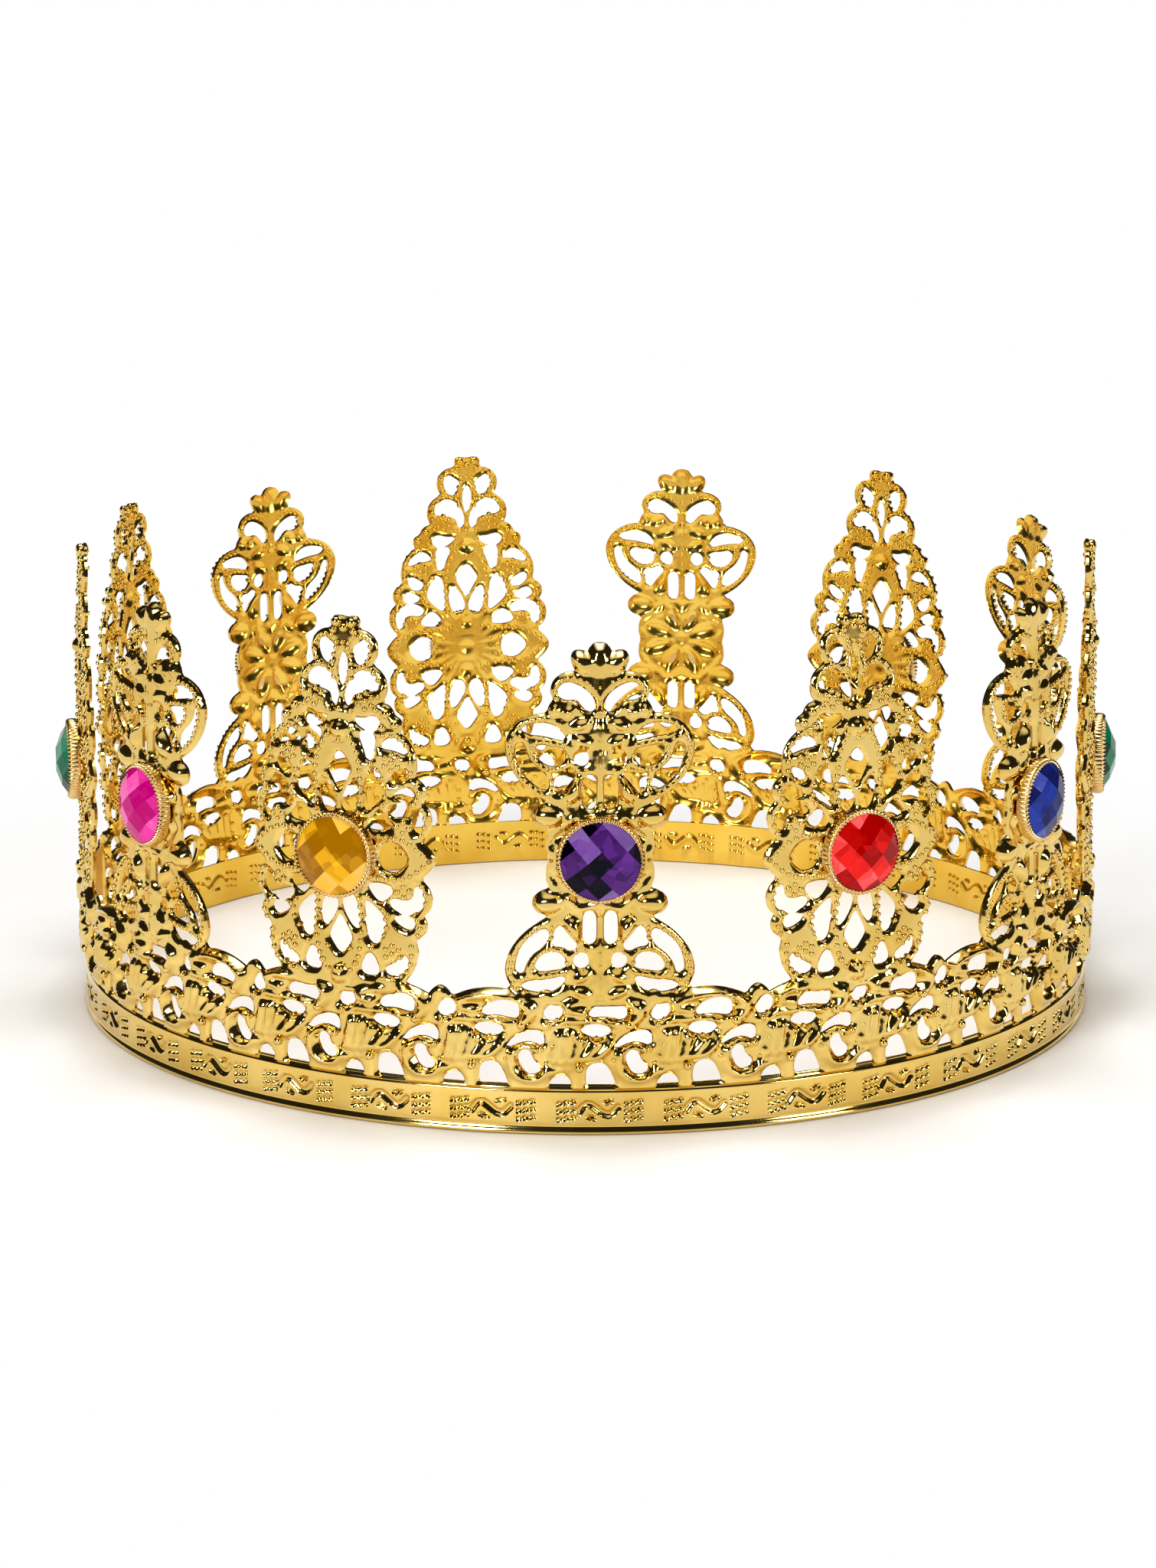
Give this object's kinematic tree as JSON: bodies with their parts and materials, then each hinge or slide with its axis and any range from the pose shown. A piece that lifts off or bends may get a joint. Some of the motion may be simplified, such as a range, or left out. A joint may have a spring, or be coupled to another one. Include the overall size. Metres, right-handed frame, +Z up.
{
  "type": "filigree crown",
  "caption": "Pierced and embossed gold sheet crown: a plain border, a scalloped gallery and a ring of tall points, each with one round faceted gem in a cup.",
  "frame": {"origin": "centre of the ring on the plane that the foot of the border rests on", "axes": "+Z up along the axis of the ring, -Y towards the point with the first gem"},
  "size_m": [0.1986, 0.1971, 0.0873],
  "materials": {
    "gold_sheet": "polished",
    "gold_cup": "polished",
    "gem_purple": "faceted, clear and glossy",
    "gem_red": "faceted, clear and glossy",
    "gem_blue": "faceted, clear and glossy",
    "gem_green": "faceted, clear and glossy",
    "gem_pink": "faceted, clear and glossy",
    "gem_amber": "faceted, clear and glossy"
  },
  "bodies": {
    "root": {"crown_body": "gold_sheet", "gem_cup_01": "gold_cup", "gem_cup_02": "gold_cup", "gem_cup_03": "gold_cup", "gem_cup_04": "gold_cup", "gem_cup_05": "gold_cup", "gem_cup_06": "gold_cup", "gem_cup_07": "gold_cup", "gem_cup_08": "gold_cup", "gem_cup_09": "gold_cup", "gem_cup_10": "gold_cup", "gem_cup_11": "gold_cup", "gem_cup_12": "gold_cup", "gem_cup_13": "gold_cup", "gem_01": "gem_purple", "gem_02": "gem_red", "gem_03": "gem_blue", "gem_04": "gem_green", "gem_05": "gem_pink", "gem_06": "gem_amber", "gem_07": "gem_purple", "gem_08": "gem_red", "gem_09": "gem_blue", "gem_10": "gem_red", "gem_11": "gem_green", "gem_12": "gem_pink", "gem_13": "gem_amber"}
  },
  "joints": []
}
